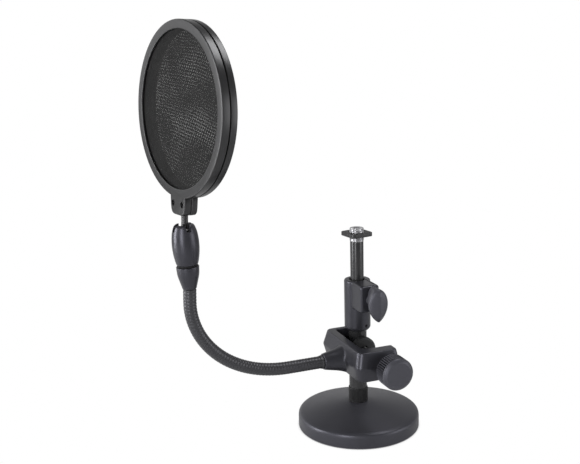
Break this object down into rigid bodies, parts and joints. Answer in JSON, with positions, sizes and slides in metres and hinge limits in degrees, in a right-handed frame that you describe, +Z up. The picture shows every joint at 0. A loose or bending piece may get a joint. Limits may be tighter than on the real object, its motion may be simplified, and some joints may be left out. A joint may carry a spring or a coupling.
{
  "type": "pop filter",
  "caption": "Round two-screen pop filter on a flexible neck, screw-clamped to a weighted desk stand with a height clutch and a threaded top.",
  "frame": {"origin": "centre of the base's underside, on the rubber pad that touches the desk", "axes": "+Z up along the stand's tubes, +X along the clamp screw and the wing screw towards their knobs, -Y along the level start of the gooseneck towards the hoop"},
  "size_m": [0.1778, 0.289, 0.4554],
  "materials": {
    "cast_iron_black": "black textured powder coat over cast iron",
    "tube_black": "satin black coated steel tube",
    "cast_black": "satin black coat over a die casting",
    "moulded_black": "satin black moulding",
    "rubber_black": "dull black rubber",
    "nylon_white": "natural nylon",
    "steel_plated": "zinc plated, lightly turned",
    "neck_black": "satin black sleeve over a wound steel neck",
    "screen_nylon": "stretched black nylon mesh"
  },
  "bodies": {
    "base": {"base_casting": "cast_iron_black", "base_pad": "rubber_black", "hub_ring": "tube_black", "outer_tube": "tube_black", "clutch_collar": "cast_black", "clutch_bush": "nylon_white", "clutch_set_screw": "steel_plated"},
    "inner_tube": {"inner_tube": "tube_black", "tube_guide": "nylon_white", "thread_bush": "steel_plated"},
    "lock_nut": {"lock_nut": "moulded_black"},
    "clutch_tip": {"clutch_tip": "nylon_white"},
    "wing": {"wing_screw": "steel_plated", "wing_knob": "moulded_black"},
    "clamp": {"clamp_body": "cast_black", "jaw_pad": "rubber_black", "neck_grub_screw": "steel_plated", "neck_collar": "neck_black", "neck_root": "neck_black"},
    "pressure_pad": {"pressure_pad": "moulded_black"},
    "clamp_screw": {"clamp_screw": "steel_plated", "clamp_knob": "moulded_black"},
    "neck_1": {"neck_link_1": "neck_black"},
    "neck_2": {"neck_link_2": "neck_black"},
    "neck_3": {"neck_link_3": "neck_black"},
    "neck_4": {"neck_link_4": "neck_black"},
    "neck_5": {"neck_link_5": "neck_black"},
    "neck_6": {"neck_link_6": "neck_black"},
    "neck_7": {"neck_link_7": "neck_black"},
    "neck_8": {"neck_link_8": "neck_black", "neck_ferrule": "cast_black", "joint_ring": "rubber_black"},
    "joint_nut": {"joint_housing": "cast_black"},
    "ball_cup": {"ball_cup": "moulded_black"},
    "hoop": {"ball_stem": "tube_black", "front_ring": "moulded_black", "rear_ring": "moulded_black", "spacer_ring": "moulded_black", "front_screen": "screen_nylon", "rear_screen": "screen_nylon", "lug_screw_left": "steel_plated", "lug_screw_right": "steel_plated"}
  },
  "joints": [
    {"name": "height_slide", "type": "slide", "parent": "base", "child": "inner_tube", "axis": [0, 0, 1], "range_m": [-0.042, 0.065]},
    {"name": "lock_nut_turn", "type": "hinge", "parent": "inner_tube", "child": "lock_nut", "pos_m": [0, 0, 0.22265], "axis": [0, 0, 1], "range_deg": [-180, 180]},
    {"name": "clutch_tip_travel", "type": "slide", "parent": "base", "child": "clutch_tip", "axis": [1, 0, 0], "range_m": [0, 0.0025]},
    {"name": "wing_turn", "type": "hinge", "parent": "clutch_tip", "child": "wing", "pos_m": [0.04, 0, 0.1564], "axis": [1, 0, 0], "range_deg": [0, 720]},
    {"name": "clamp_swivel", "type": "hinge", "parent": "base", "child": "clamp", "pos_m": [0, 0, 0.0937], "axis": [0, 0, 1], "continuous": true},
    {"name": "pressure_pad_travel", "type": "slide", "parent": "clamp", "child": "pressure_pad", "axis": [1, 0, 0], "range_m": [0, 0.03]},
    {"name": "knob_turn", "type": "hinge", "parent": "pressure_pad", "child": "clamp_screw", "pos_m": [0.05, 0, 0.0937], "axis": [1, 0, 0], "range_deg": [0, 7200]},
    {"name": "neck_bend_1", "type": "hinge", "parent": "clamp", "child": "neck_1", "pos_m": [0.0268, -0.062, 0.0921], "axis": [1, 0, 0], "range_deg": [-4, 9]},
    {"name": "neck_bend_2", "type": "hinge", "parent": "neck_1", "child": "neck_2", "pos_m": [0.0268, -0.08657, 0.0921], "axis": [1, 0, 0], "range_deg": [-4, 9]},
    {"name": "neck_bend_3", "type": "hinge", "parent": "neck_2", "child": "neck_3", "pos_m": [0.0268, -0.11111, 0.09315], "axis": [1, 0, 0], "range_deg": [-4, 9]},
    {"name": "neck_bend_4", "type": "hinge", "parent": "neck_3", "child": "neck_4", "pos_m": [0.0268, -0.13504, 0.09856], "axis": [1, 0, 0], "range_deg": [-4, 9]},
    {"name": "neck_bend_5", "type": "hinge", "parent": "neck_4", "child": "neck_5", "pos_m": [0.0268, -0.15721, 0.10902], "axis": [1, 0, 0], "range_deg": [-4, 9]},
    {"name": "neck_bend_6", "type": "hinge", "parent": "neck_5", "child": "neck_6", "pos_m": [0.0268, -0.1761, 0.12463], "axis": [1, 0, 0], "range_deg": [-4, 9]},
    {"name": "neck_bend_7", "type": "hinge", "parent": "neck_6", "child": "neck_7", "pos_m": [0.0268, -0.1899, 0.14485], "axis": [1, 0, 0], "range_deg": [-4, 9]},
    {"name": "neck_bend_8", "type": "hinge", "parent": "neck_7", "child": "neck_8", "pos_m": [0.0268, -0.1968, 0.16832], "axis": [1, 0, 0], "range_deg": [-4, 9]},
    {"name": "joint_nut_turn", "type": "hinge", "parent": "neck_8", "child": "joint_nut", "pos_m": [0.0268, -0.19887, 0.24863], "axis": [0, -0.0384, 0.9993], "range_deg": [-180, 180]},
    {"name": "hoop_swivel", "type": "hinge", "parent": "neck_8", "child": "ball_cup", "pos_m": [0.0268, -0.19887, 0.24863], "axis": [0, -0.0384, 0.9993], "continuous": true},
    {"name": "hoop_tilt", "type": "hinge", "parent": "ball_cup", "child": "hoop", "pos_m": [0.0268, -0.19887, 0.24863], "axis": [0.9711, 0.2385, 0], "range_deg": [-12, 20]}
  ],
  "couplings": [
    {"joint": "wing_turn", "follows": "clutch_tip_travel", "rad_per_m": 5026.5},
    {"joint": "knob_turn", "follows": "pressure_pad_travel", "rad_per_m": 4188.8},
    {"joint": "neck_bend_2", "follows": "neck_bend_1", "ratio": 1},
    {"joint": "neck_bend_3", "follows": "neck_bend_1", "ratio": 1},
    {"joint": "neck_bend_4", "follows": "neck_bend_1", "ratio": 1},
    {"joint": "neck_bend_5", "follows": "neck_bend_1", "ratio": 1},
    {"joint": "neck_bend_6", "follows": "neck_bend_1", "ratio": 1},
    {"joint": "neck_bend_7", "follows": "neck_bend_1", "ratio": 1},
    {"joint": "neck_bend_8", "follows": "neck_bend_1", "ratio": 1}
  ]
}
